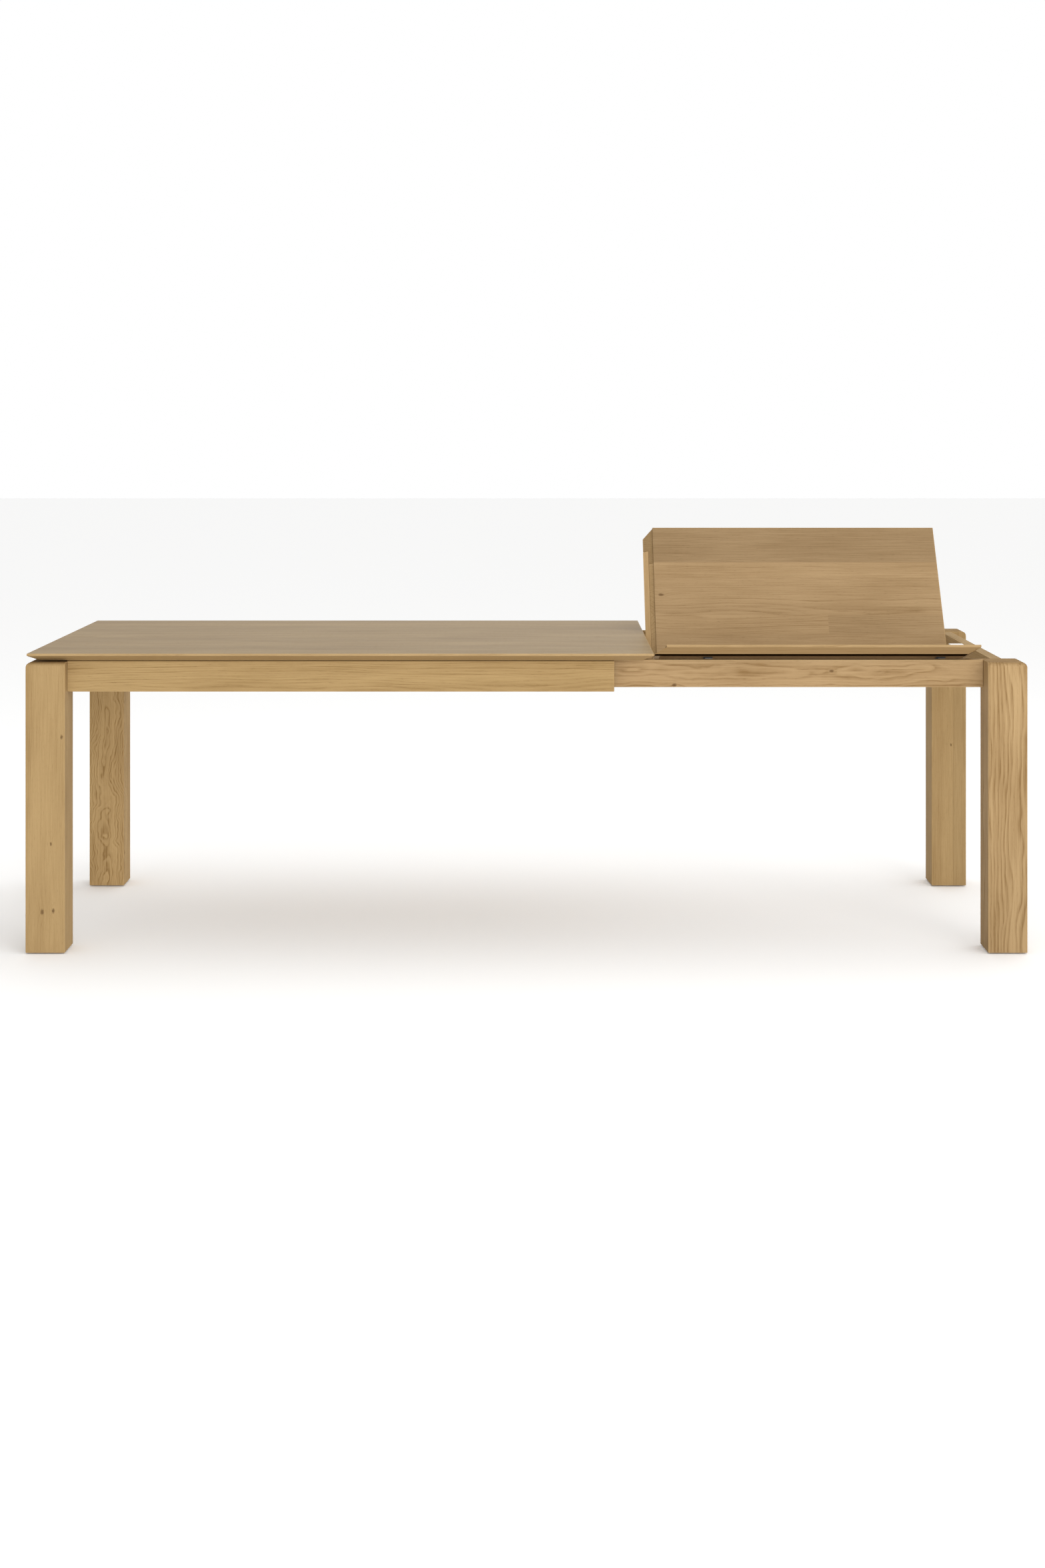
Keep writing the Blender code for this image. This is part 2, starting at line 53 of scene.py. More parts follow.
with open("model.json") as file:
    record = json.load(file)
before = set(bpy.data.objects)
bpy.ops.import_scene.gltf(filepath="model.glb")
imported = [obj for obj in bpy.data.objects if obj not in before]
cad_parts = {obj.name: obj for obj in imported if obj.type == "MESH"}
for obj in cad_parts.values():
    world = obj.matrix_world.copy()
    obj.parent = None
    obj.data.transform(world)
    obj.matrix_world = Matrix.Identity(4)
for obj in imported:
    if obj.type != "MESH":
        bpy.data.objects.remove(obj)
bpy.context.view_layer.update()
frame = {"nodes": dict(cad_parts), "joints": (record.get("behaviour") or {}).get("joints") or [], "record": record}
JOINTS = {joint["name"]: joint for joint in frame["joints"]}
BODY_OF = {node: body for body, nodes in frame["record"]["behaviour"]["bodies"].items()
           for node in nodes}
SLOT_OF = {part["node"]: part["material_slot"] for part in frame["record"]["subparts"]}
SIDES = {"front": -1, "rear": 1}

FRONT_TILT = radians(-13.0)      # how the two leaf halves stand, turned from flat about X
REAR_TILT = radians(56.0)
SMOOTH_BELOW = radians(35.0)     # edges sharper than this stay sharp in the shading
ROUND_ABOVE = radians(20.0)      # edges sharper than this are eased by the arris


# --- settings --------------------------------------------------------------------------
def colour_setting(name, description, default):
    return FloatVectorProperty(name=name, description=description, default=default,
                               subtype="COLOR", size=3, min=0.0, max=1.0)


def length_setting(name, description, default):
    return FloatProperty(name=name, description=description, default=default,
                         subtype="DISTANCE", unit="LENGTH", min=0.0)


class OakSettings(PropertyGroup):
    """Colours and small sizes of the oak."""
    arris: length_setting("Arris", "Rounding of the boards' edges", 0.0010)
    ring: length_setting("Ring width", "Mean width of a year ring", 0.0034)
    pale: colour_setting("Pale wood", "Oak between the dark lines", (0.400, 0.272, 0.128))
    deep: colour_setting("Deep wood", "Dark lines of the figure", (0.225, 0.135, 0.052))
    # painted shade: top_face and leaf_face darken the faces that look up, for the stronger light they get from
    # above, and their grey cast is a painted sheen
    top_face: colour_setting("Top's face", "Tint of the main top's face", (0.80, 0.82, 0.84))
    leaf_face: colour_setting("Leaf's face", "Tint of the leaf's face", (0.90, 0.90, 0.95))
    under: colour_setting("Underside", "Unoiled underside of the leaf", (0.230, 0.145, 0.070))
    # painted shade: a near-black colour for the strip under the front half's edge, standing in for the dark gap
    # into the frame
    shade_strip: colour_setting("Felt", "Dark felt where the leaf meets the apron", (0.022, 0.011, 0.004))
    # painted shade: the dark line where an apron's upper edge meets the top above it
    corner_shade: colour_setting("Corner", "Dull line under the top", (0.090, 0.050, 0.016))
    bark: colour_setting("Knot", "Middle of a knot", (0.120, 0.065, 0.028))


class FittingSettings(PropertyGroup):
    """Colours of the metal and plastic pieces."""
    zinc: colour_setting("Zinc", "Plated steel", (0.560, 0.565, 0.560))
    alloy: colour_setting("Alloy", "Anodised aluminium", (0.640, 0.645, 0.650))
    coat: colour_setting("Coat", "Black powder coat", (0.022, 0.022, 0.024))
    brass: colour_setting("Brass", "Hinges", (0.600, 0.440, 0.190))
    nylon: colour_setting("Nylon", "Glides and shoes", (0.055, 0.050, 0.046))
    white: colour_setting("White", "Leaf rest", (0.860, 0.850, 0.830))
    beech: colour_setting("Beech", "Hidden battens and runners", (0.560, 0.400, 0.245))
    screw: length_setting("Screw head", "Radius of a screw head", 0.0036)


class StageSettings(PropertyGroup):
    """Camera, floor and light."""
    eye: FloatVectorProperty(name="Eye", description="Place of the camera", size=3,
                             default=(0.0270, -6.0290, 1.3730), subtype="TRANSLATION",
                             unit="LENGTH")
    lens: FloatProperty(name="Lens", description="Focal length in millimetres", default=50.34)
    shift: FloatVectorProperty(name="Shift", description="Lens shift", size=2,
                               default=(-0.0093, -0.2355))
    floor: colour_setting("Floor", "Pale studio floor", (0.96, 0.96, 0.955))
    key: FloatProperty(name="Key", description="Power of the key light", default=230.0,
                       subtype="POWER", unit="POWER")
    sky: FloatProperty(name="Sky", description="Strength of the light from all round", default=1.06)


# --- node trees ------------------------------------------------------------------------
class Graph:
    """A node tree with short calls for adding nodes and joining their sockets."""

    def __init__(self, tree):
        self.tree = tree

    def put(self, socket, value):
        if isinstance(value, NodeSocket):
            self.tree.links.new(value, socket)
        elif value is not None:
            socket.default_value = value

    def add(self, kind, inputs=None, **settings):
        node = self.tree.nodes.new("ShaderNode" + kind)
        for key, value in settings.items():
            setattr(node, key, value)
        for key, value in (inputs or {}).items():
            self.put(node.inputs[key], value)
        return node

    def math(self, operation, a, b=None, c=None, clamp=False):
        node = self.add("Math", {0: a, 1: b, 2: c}, operation=operation, use_clamp=clamp)
        return node.outputs[0]

    def vector(self, operation, a, b=None):
        node = self.add("VectorMath", operation=operation)
        self.put(node.inputs[0], a)
        self.put(node.inputs["Scale" if operation == "SCALE" else 1], b)
        return node.outputs["Value" if operation in ("LENGTH", "DOT_PRODUCT") else "Vector"]

    def split(self, vector):
        return self.add("SeparateXYZ", {0: vector}).outputs

    def join(self, x, y, z):
        return self.add("CombineXYZ", {0: x, 1: y, 2: z}).outputs[0]

    def noise(self, vector, scale, detail=2.0, roughness=0.5, colour=False):
        """Noise over a vector stretched by a scale of three numbers."""
        stretched = self.vector("MULTIPLY", vector, scale)
        node = self.add("TexNoise", {"Vector": stretched, "Scale": 1.0, "Detail": detail,
                                     "Roughness": roughness})
        return node.outputs["Color" if colour else "Fac"]

    def smooth(self, value, low, high):
        """0 below low, 1 above high, with soft ends."""
        node = self.add("MapRange", {"Value": value, "From Min": low, "From Max": high},
                        interpolation_type="SMOOTHSTEP")
        return node.outputs["Result"]

    def mix(self, factor, a, b, blend="MIX"):
        node = self.add("Mix", data_type="RGBA", blend_type=blend)
        self.put(node.inputs[0], factor)
        self.put(node.inputs[6], a)
        self.put(node.inputs[7], b)
        return node.outputs[2]

    def ramp(self, value, stops):
        """A curve through (place, value) stops."""
        node = self.add("ValToRGB", {0: value})
        elements = node.color_ramp.elements
        while len(elements) < len(stops):
            elements.new(0.5)
        for element, (place, level) in zip(elements, stops):
            element.position = place
            element.color = (level, level, level, 1.0)
        return node.outputs[0]


def rgba(colour):
    return (*colour, 1.0)


def new_group(name, inputs, outputs):
    """An empty shader node group: returns its graph and its input and output nodes."""
    tree = bpy.data.node_groups.new(name, "ShaderNodeTree")
    for direction, sockets in (("INPUT", inputs), ("OUTPUT", outputs)):
        for socket_name, kind, *default in sockets:
            socket = tree.interface.new_socket(socket_name, in_out=direction,
                                               socket_type="NodeSocket" + kind)
            if default:
                socket.default_value = default[0]
    graph = Graph(tree)
    return graph, tree.nodes.new("NodeGroupInput").outputs, tree.nodes.new("NodeGroupOutput").inputs


def group_node(graph, name, **values):
    """One of the shared groups placed in a material; names use _ for spaces."""
    node = graph.add("Group")
    node.node_tree = bpy.data.node_groups[name]
    for key, value in values.items():
        graph.put(node.inputs[key.replace("_", " ").capitalize()], value)
    return node.outputs


# --- shared effects --------------------------------------------------------------------
def make_oak_figure():
    """Year rings round a pith, pores, fibres and broad bands, cut wherever a face runs."""
    graph, given, out = new_group(
        "oak_figure",
        [("Vector", "Vector"), ("Ring", "Float", 0.0034), ("Wander", "Float", 0.02),
         ("Swirl", "Float", 1.6), ("Contrast", "Float", 1.0), ("Bands", "Float", 0.4),
         ("Knot", "Float", 0.0), ("Pale", "Color"), ("Deep", "Color")],
        [("Color", "Color"), ("Height", "Float"), ("Roughness", "Float")])
    place = given["Vector"]
    _, y, z = graph.split(place)
    drift = graph.noise(place, graph.join(given["Swirl"], 9.0, 9.0), 3.0, colour=True)
    drift = graph.vector("SUBTRACT", drift, (0.5, 0.5, 0.5))
    drift = graph.vector("SCALE", drift, given["Wander"])
    _, drift_y, drift_z = graph.split(drift)
    across = graph.join(0.0, graph.math("ADD", y, drift_y), graph.math("ADD", z, drift_z))
    radius = graph.vector("LENGTH", across)
    taper = graph.noise(place, (0.9, 2.5, 2.5), 2.0)
    taper = graph.math("MULTIPLY", graph.math("SUBTRACT", taper, 0.5), 0.05)
    radius = graph.math("ADD", radius, taper)
    radius = graph.math("ADD", radius, graph.math("MULTIPLY", given["Knot"], 0.012))
    phase = graph.math("DIVIDE", radius, given["Ring"])
    year = graph.add("TexWhiteNoise", {"W": graph.math("FLOOR", phase)}, noise_dimensions="1D")
    strength = graph.math("MULTIPLY_ADD", year.outputs["Value"], 0.75, 0.25)
    early = graph.ramp(graph.math("FRACT", phase),
                       [(0.0, 0.30), (0.16, 0.95), (0.45, 0.55), (0.78, 0.15), (1.0, 0.30)])
    broken = graph.smooth(graph.noise(place, (9.0, 240.0, 240.0), 2.0), 0.30, 0.70)
    strength = graph.math("MULTIPLY", strength, graph.math("MULTIPLY_ADD", broken, 0.80, 0.35))
    rings = graph.math("MULTIPLY", graph.math("MULTIPLY", early, strength), given["Contrast"])
    fibre = graph.math("SUBTRACT", graph.noise(place, (12.0, 520.0, 520.0), 2.0), 0.5)
    bands = graph.math("SUBTRACT", graph.noise(place, (1.1, 34.0, 34.0), 3.0, 0.6), 0.5)
    cloud = graph.math("SUBTRACT", graph.noise(place, (3.4, 14.0, 14.0), 3.0), 0.5)
    tone = graph.math("MULTIPLY_ADD", fibre, 0.70, graph.math("MULTIPLY", rings, 0.75))
    tone = graph.math("MULTIPLY_ADD", bands, graph.math("MULTIPLY", given["Bands"], 2.0), tone)
    tone = graph.math("MULTIPLY_ADD", cloud, 0.85, tone)
    tone = graph.math("ADD", tone, 0.12, clamp=True)
    pores = graph.noise(place, (60.0, 1500.0, 1500.0), 1.0)
    pores = graph.math("MULTIPLY", graph.smooth(pores, 0.60, 0.70), early)
    colour = graph.mix(tone, given["Pale"], given["Deep"])
    colour = graph.mix(graph.math("MULTIPLY", pores, 0.35), colour, given["Deep"], "MULTIPLY")
    graph.put(out["Color"], colour)
    height = graph.math("MULTIPLY_ADD", fibre, 0.35, graph.math("MULTIPLY", rings, -0.25))
    graph.put(out["Height"], graph.math("MULTIPLY_ADD", pores, -0.9, height))
    graph.put(out["Roughness"], graph.math("MULTIPLY_ADD", rings, 0.10, graph.math(
        "MULTIPLY_ADD", pores, 0.15, 0.44)))


def make_edge_wear_and_highlight():
    """A mask of the edges of a box from Low to High, broken up as handling does; the oak is lightened there as
    wear and as a painted highlight on the arrises.
    """
    graph, given, out = new_group(
        "edge_wear", [("Vector", "Vector"), ("Low", "Vector"), ("High", "Vector"),
                      ("Width", "Float", 0.003)],
        [("Mask", "Float")])
    below = graph.split(graph.vector("SUBTRACT", given["Vector"], given["Low"]))
    above = graph.split(graph.vector("SUBTRACT", given["High"], given["Vector"]))
    x, y, z = (graph.math("MINIMUM", a, b) for a, b in zip(below, above))
    nearest = graph.math("MINIMUM", graph.math("MAXIMUM", x, y), graph.math("MAXIMUM", y, z))
    nearest = graph.math("MINIMUM", nearest, graph.math("MAXIMUM", x, z))
    ragged = graph.noise(given["Vector"], (40.0, 40.0, 40.0), 3.0)
    width = graph.math("MULTIPLY", given["Width"], graph.math("MULTIPLY_ADD", ragged, 1.2, 0.4))
    graph.put(out["Mask"], graph.math("SUBTRACT", 1.0, graph.smooth(nearest, 0.0, width)))


def make_knot():
    """A small knot: Core is its dark middle, Bend pushes the rings out round it."""
    graph, given, out = new_group(
        "knot", [("Vector", "Vector"), ("Centre", "Vector"), ("Size", "Float", 0.006)],
        [("Core", "Float"), ("Bend", "Float")])
    away = graph.vector("SUBTRACT", given["Vector"], given["Centre"])
    ragged = graph.noise(given["Vector"], (160.0, 160.0, 160.0), 2.0, colour=True)
    ragged = graph.vector("SCALE", graph.vector("SUBTRACT", ragged, (0.5, 0.5, 0.5)), 0.004)
    away = graph.vector("MULTIPLY", graph.vector("ADD", away, ragged), (0.55, 1.0, 0.6))
    reach = graph.math("DIVIDE", graph.vector("LENGTH", away), given["Size"])
    graph.put(out["Core"], graph.math("SUBTRACT", 1.0, graph.smooth(reach, 0.25, 1.0)))
    graph.put(out["Bend"], graph.math("EXPONENT", graph.math("MULTIPLY", reach, -0.45)))


def make_scuffs():
    """Fine scratches and handling marks for metal and plastic."""
    graph, given, out = new_group(
        "scuffs", [("Vector", "Vector"), ("Stretch", "Vector", (40.0, 900.0, 900.0)),
                   ("Base", "Float", 0.35), ("Spread", "Float", 0.2)],
        [("Height", "Float"), ("Roughness", "Float"), ("Grime", "Float")])
    drawn = graph.vector("MULTIPLY", given["Vector"], given["Stretch"])
    lines = graph.noise(drawn, (1.0, 1.0, 1.0), 3.0, 0.6)
    blots = graph.noise(given["Vector"], (45.0, 45.0, 45.0), 4.0, 0.6)
    rough = graph.math("ADD", graph.math("SUBTRACT", lines, 0.5),
                       graph.math("SUBTRACT", blots, 0.5))
    graph.put(out["Height"], lines)
    graph.put(out["Roughness"], graph.math("MULTIPLY_ADD", rough, given["Spread"], given["Base"]))
    graph.put(out["Grime"], graph.smooth(blots, 0.50, 0.75))


# --- materials -------------------------------------------------------------------------
def new_material(name):
    material = bpy.data.materials.new(name)
    material.use_nodes = True
    graph = Graph(material.node_tree)
    shader = material.node_tree.nodes["Principled BSDF"]
    return material, graph, shader


def bump(graph, shader, height, strength, distance):
    node = graph.add("Bump", {"Strength": strength, "Distance": distance, "Height": height})
    graph.put(shader.inputs["Normal"], node.outputs["Normal"])


class Cut:
    """How a piece is cut from the tree.

    order gives the row axes that lie along, across and through the board; turn undoes a tilt
    about X; seams are places across it where boards are glued and tones how light each board is;
    pith is the heart's place across and through; knots are (along, across, through, size);
    joint is (board, along, tone) where one board is pieced out with another of that tone;
    corner is the height of a painted line of shade where its upper edge meets a board above; fade is how
    much it darkens towards the low end, as painted shade where the light falls off.
    """

    def __init__(self, order, seed, pith=(0.0, 0.05), seams=(), turn=0.0, colours="frame",
                 ring=1.0, wander=0.02, swirl=1.6, contrast=0.8, bands=0.30, tones=(1.0,), knots=(),
                 joint=None, warmth=0.0, corner=0.0, fade=0.0):
        self.order = order
        self.seed = seed
        self.pith = pith
        self.seams = seams
        self.turn = turn
        self.colours = colours
        self.ring = ring
        self.wander = wander
        self.swirl = swirl
        self.contrast = contrast
        self.bands = bands
        self.tones = tones
        self.knots = knots
        self.joint = joint
        self.warmth = warmth
        self.corner = corner
        self.fade = fade


def board_space(graph, cut, socket, origin):
    """A row vector turned into (along, across, through)."""
    if origin is not None:
        socket = graph.vector("SUBTRACT", socket, tuple(origin))
    if cut.turn:
        turned = graph.add("VectorRotate", {"Vector": socket, "Angle": -cut.turn},
                           rotation_type="X_AXIS")
        socket = turned.outputs[0]
    parts = graph.split(socket)
    return graph.join(*(parts[i] for i in cut.order))


def board_at(graph, along, across, cut):
    """Which board a place is on, its tone, and how far it is from the nearest glued seam."""
    number = 0.0
    tone = cut.tones[0]
    nearest = 1.0
    for seam, before, after in zip(cut.seams, cut.tones, cut.tones[1:]):
        past = graph.math("GREATER_THAN", across, seam)
        number = graph.math("ADD", past, number)
        tone = graph.math("MULTIPLY_ADD", past, after - before, tone)
        gap = graph.math("ABSOLUTE", graph.math("SUBTRACT", across, seam))
        nearest = graph.math("MINIMUM", gap, nearest)
    if cut.joint:
        board, start, change = cut.joint
        beyond = graph.math("MULTIPLY", graph.math("COMPARE", number, float(board), 0.5),
                            graph.math("GREATER_THAN", along, start))
        number = graph.math("MULTIPLY_ADD", beyond, 10.0, number)
        tone = graph.math("MULTIPLY_ADD", beyond, change, tone)
    return number, tone, nearest


def oak(name, cut, origin, size):
    """Oiled oak for one piece; origin is its middle and size its extent in board space."""
    settings = bpy.context.scene.table_oak
    pale = rgba(settings.pale)
    deep = rgba(settings.deep)
    material, graph, shader = new_material(name)
    source = graph.add("TexCoord").outputs
    place = board_space(graph, cut, source["Object"], origin)
    along, across, through = graph.split(place)
    number, tone, seam = board_at(graph, along, across, cut)
    lot = graph.add("TexWhiteNoise", {"W": graph.math("ADD", number, cut.seed)},
                    noise_dimensions="1D")
    _, slide, side = graph.add("SeparateColor", {0: lot.outputs["Color"]}).outputs
    core = 0.0
    bend = 0.0
    for knot_place in cut.knots:
        marks = group_node(graph, "knot", vector=place, centre=knot_place[:3], size=knot_place[3])
        core = graph.math("MAXIMUM", marks["Core"], core)
        bend = graph.math("MAXIMUM", marks["Bend"], bend)
    spread = 0.16 if cut.seams else 0.0
    pith_y = graph.math("MULTIPLY_ADD", graph.math("SUBTRACT", side, 0.5), spread, -cut.pith[0])
    shifted = graph.join(graph.math("MULTIPLY_ADD", slide, 9.0, along),
                         graph.math("ADD", across, pith_y),
                         graph.math("ADD", through, cut.pith[1]))
    figure = group_node(graph, "oak_figure", vector=shifted, ring=settings.ring * cut.ring,
                        wander=cut.wander, swirl=cut.swirl, contrast=cut.contrast,
                        bands=cut.bands, knot=bend, pale=pale, deep=deep)
    # painted shade: fade darkens the piece towards its low end, for light that falls off downwards
    tone = graph.math("MULTIPLY_ADD", along, cut.fade / size[0], tone)
    warm = graph.math("SUBTRACT", tone, cut.warmth)
    colour = graph.mix(1.0, figure["Color"], graph.join(tone, tone, warm), "MULTIPLY")
    normal = graph.split(board_space(graph, cut, source["Normal"], None))
    end = graph.smooth(graph.math("ABSOLUTE", normal[0]), 0.30, 0.95)
    if cut.colours != "frame":
        face = rgba(getattr(settings, cut.colours + "_face"))
        # painted shade: faces turned up take the face tint, darker and greyer than the edges, with a painted grey
        # sheen
        colour = graph.mix(graph.smooth(normal[2], 0.90, 0.97), colour, graph.mix(
            1.0, colour, face, "MULTIPLY"))
        # painted shade: faces turned down, the undercuts and the underside, are pulled towards the deep colour
        under = graph.smooth(graph.math("MULTIPLY", normal[2], -1.0), 0.30, 0.70)
        colour = graph.mix(graph.math("MULTIPLY", under, 0.45), colour, deep)
    colour = graph.mix(graph.math("MULTIPLY", end, 0.50), colour, deep)
    glue = graph.math("SUBTRACT", 1.0, graph.smooth(seam, 0.0, 0.0009))
    colour = graph.mix(graph.math("MULTIPLY", glue, 0.22), colour, deep)
    half = Vector(size) / 2
    # wear and painted highlight: the edges are lightened, partly as worn edges and partly as the highlight the
    # arrises catch
    wear_and_highlight = group_node(graph, "edge_wear", vector=place, low=tuple(-half), high=tuple(half),
                      width=0.0030)["Mask"]
    light = tuple(min(1.0, 1.22 * c) for c in pale[:3])
    colour = graph.mix(graph.math("MULTIPLY", wear_and_highlight, 0.45), colour, rgba(light))
    colour = graph.mix(graph.math("MULTIPLY", core, 0.80), colour, rgba(settings.bark))
    # painted shade: a dark line along the upper edge, where a board above meets it
    if cut.corner:
        low = size[1] / 2 - cut.corner
        line = graph.smooth(across, low - cut.corner, low)
        colour = graph.mix(graph.math("MULTIPLY", line, 0.80), colour, rgba(settings.corner_shade))
    graph.put(shader.inputs["Base Color"], colour)
    dull = 0.02 if cut.colours == "top" else 0.14
    graph.put(shader.inputs["Roughness"], graph.math("ADD", figure["Roughness"], graph.math(
        "MULTIPLY_ADD", end, 0.12, dull)))
    shader.inputs["Specular IOR Level"].default_value = 0.16 if cut.colours == "top" else 0.03
    height = graph.math("MULTIPLY_ADD", glue, -0.8, figure["Height"])
    bump(graph, shader, height, 0.35, 0.0003)
    return material


def fitting(name, colour, metallic, base, spread, stretch, relief, dulled=0.72):
    """Metal or plastic with drawn lines, blots and dulled patches."""
    material, graph, shader = new_material(name)
    place = graph.add("TexCoord").outputs["Object"]
    marks = group_node(graph, "scuffs", vector=place, stretch=stretch, base=base, spread=spread)
    dull = rgba(dulled * c for c in colour)
    graph.put(shader.inputs["Base Color"], graph.mix(marks["Grime"], rgba(colour), dull))
    graph.put(shader.inputs["Roughness"], marks["Roughness"])
    shader.inputs["Metallic"].default_value = metallic
    bump(graph, shader, marks["Height"], 0.25, relief)
    return material


def fitting_materials():
    colours = bpy.context.scene.table_fittings
    grit = (900.0, 900.0, 900.0)
    drawn = (30.0, 1200.0, 1200.0)
    return {
        "zinc_steel": fitting("zinc_plate", colours.zinc, 1.0, 0.34, 0.22, grit, 0.00008),
        "aluminium": fitting("anodised_alloy", colours.alloy, 1.0, 0.36, 0.18, drawn, 0.00005),
        "black_steel": fitting("powder_coat", colours.coat, 0.0, 0.48, 0.20, grit, 0.00015),
        "brass": fitting("satin_brass", colours.brass, 1.0, 0.28, 0.18, drawn, 0.00004),
        "nylon": fitting("black_nylon", colours.nylon, 0.0, 0.58, 0.18, grit, 0.00010),
        "white_plastic": fitting("white_plastic", colours.white, 0.0, 0.42, 0.12, grit, 0.00005,
                                 dulled=0.94),
    }


def beech(name, order, seed):
    """Plain unoiled beech with short flecks, for the battens that stay hidden."""
    colours = bpy.context.scene.table_fittings
    pale = rgba(colours.beech)
    deep = rgba(0.74 * c for c in colours.beech)
    material, graph, shader = new_material(name)
    cut = Cut(order, seed)
    place = board_space(graph, cut, graph.add("TexCoord").outputs["Object"], None)
    place = graph.vector("ADD", place, (seed, seed * 0.37, 0.05))
    figure = group_node(graph, "oak_figure", vector=place, ring=0.004, wander=0.01, contrast=0.5,
                        bands=0.2, knot=0.0, pale=pale, deep=deep)
    flecks = graph.smooth(graph.noise(place, (260.0, 900.0, 260.0), 1.0), 0.60, 0.72)
    colour = graph.mix(graph.math("MULTIPLY", flecks, 0.45), figure["Color"], deep)
    graph.put(shader.inputs["Base Color"], colour)
    graph.put(shader.inputs["Roughness"], graph.math("ADD", figure["Roughness"], 0.12))
    bump(graph, shader, figure["Height"], 0.3, 0.0002)
    return material


# --- pieces ----------------------------------------------------------------------------
def add_piece(name, bm, material, body):
    """A finished piece of its own mesh, riding on a body."""
    mesh = bpy.data.meshes.new(name)
    bm.to_mesh(mesh)
    bm.free()
    mesh.materials.append(material)
    mesh.shade_smooth()
    mesh.set_sharp_from_angle(angle=SMOOTH_BELOW)
    piece = bpy.data.objects.new(name, mesh)
    bpy.context.scene.collection.objects.link(piece)
    weighted = piece.modifiers.new("even_normals", "WEIGHTED_NORMAL")
    weighted.keep_sharp = True
    weighted.weight = 100
    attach(piece, body)
    return piece


def whole_flats(node):
    """The node's mesh with its flats made whole again."""
    bm = bmesh.new()
    bm.from_mesh(frame["nodes"][node].data)
    bmesh.ops.remove_doubles(bm, verts=bm.verts, dist=0.00002)
    bmesh.ops.dissolve_limit(bm, angle_limit=radians(0.5), verts=bm.verts, edges=bm.edges)
    return bm


def unoiled(name, cut, origin, shade_strip_edge):
    """The raw underside of a leaf half, with a near-black strip of painted shade from its outer edge in to the
    given edge, for the dark gap under the front edge.
    """
    settings = bpy.context.scene.table_oak
    material, graph, shader = new_material(name)
    place = board_space(graph, cut, graph.add("TexCoord").outputs["Object"], origin)
    raw = rgba(settings.under)
    streaks = graph.noise(place, (6.0, 90.0, 90.0), 3.0)
    colour = graph.mix(streaks, raw, rgba(1.5 * c for c in raw[:3]))
    # painted shade: near-black strip along the front half's outer edge, where the gap under its lip looks into the
    # frame
    shade_strip = graph.math("LESS_THAN", graph.split(place)[1], shade_strip_edge)
    colour = graph.mix(shade_strip, colour, rgba(settings.shade_strip))
    graph.put(shader.inputs["Base Color"], colour)
    shader.inputs["Roughness"].default_value = 0.9
    shader.inputs["Specular IOR Level"].default_value = 0.0
    return material


def finish_node(node, suffix, material, arris=0.0, under=None):
    """The finished piece that stands for a CAD node, its sharp edges eased by arris.

    under is (material, direction) for the faces that look that way.
    """
    bm = whole_flats(node)
    if under:
        for face in bm.faces:
            face.material_index = int(face.normal.dot(under[1]) > 0.97)
    if arris:
        sharp = [edge for edge in bm.edges
                 if len(edge.link_faces) == 2 and edge.calc_face_angle() > ROUND_ABOVE]
        bmesh.ops.bevel(bm, geom=sharp, offset=arris, segments=3, profile=0.5, affect="EDGES",
                        clamp_overlap=True)
    piece = add_piece(node + suffix, bm, material, BODY_OF[node])
    if under:
        piece.data.materials.append(under[0])
    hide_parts(node)
    return piece


def middle_of(node):
    low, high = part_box(node)
    return (low + high) / 2, high - low


def oak_piece(node, cut, arris=0.0, origin=None, size=None, under=None):
    """A CAD node finished in oak: board space has its zero in the piece's middle."""
    if origin is None:
        origin, extent = middle_of(node)
        size = tuple(extent[i] for i in cut.order)
    material = oak(node + "_oak", cut, origin, size)
    return finish_node(node, "_finished", material, arris, under=under)


def leaf_origin(tilt, joint, flat_offset):
    """The middle of a tilted leaf half, from its joint and its offset when flat."""
    turn = Matrix.Rotation(tilt, 3, "X")
    return Vector(JOINTS[joint]["pos_m"]) + turn @ Vector(flat_offset)


# --- oak pieces ------------------------------------------------------------------------
def widths_to_seams(widths, start):
    """Where boards of these widths meet, counted from start."""
    seams = []
    place = start
    for width in widths[:-1]:
        place += width
        seams.append(place)
    return tuple(seams)


LENGTHWISE_FLAT = (0, 1, 2)
LENGTHWISE_UPRIGHT = (0, 2, 1)
CROSSWISE_UPRIGHT = (1, 2, 0)
CROSSWISE_FLAT = (1, 0, 2)
STANDING = (2, 0, 1)
LEAF_SIZE = (0.832, 0.450, 0.020)                 # one half: along, across and through
FRONT_OFFSET = (-0.014, 0.125, 0.055)             # from a half's joint to its middle when flat
REAR_OFFSET = (-0.014, 0.218, -0.0078)
